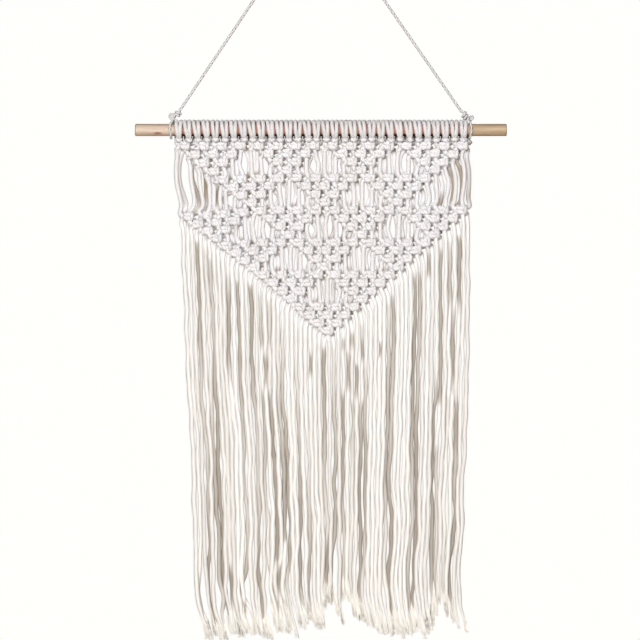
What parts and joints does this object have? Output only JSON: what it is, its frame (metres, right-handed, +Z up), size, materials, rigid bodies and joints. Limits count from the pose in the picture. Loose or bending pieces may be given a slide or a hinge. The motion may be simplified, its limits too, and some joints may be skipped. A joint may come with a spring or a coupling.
{
  "type": "macrame wall hanging on a dowel",
  "caption": "Hanging panel of knotted cotton cord: inverted triangles of square knots above a long fringe, looped on a round wooden dowel with a cord to hang it.",
  "frame": {"origin": "where the hanging cord rests on its hook, at the underside of its top bend", "axes": "+X along the dowel to the right as seen from the front, +Y into the wall, +Z up"},
  "size_m": [0.39, 0.0194, 0.764],
  "materials": {
    "cotton_cord": "undyed three-ply cotton cord, matte",
    "hanging_cord": "thin undyed twisted cotton cord, matte",
    "dowel_wood": "sanded bare wood, matte"
  },
  "bodies": {
    "root": {"dowel": "dowel_wood", "knotted_net": "cotton_cord", "fringe": "cotton_cord", "hanging_cord": "hanging_cord", "left_tie": "hanging_cord", "right_tie": "hanging_cord"}
  },
  "joints": []
}
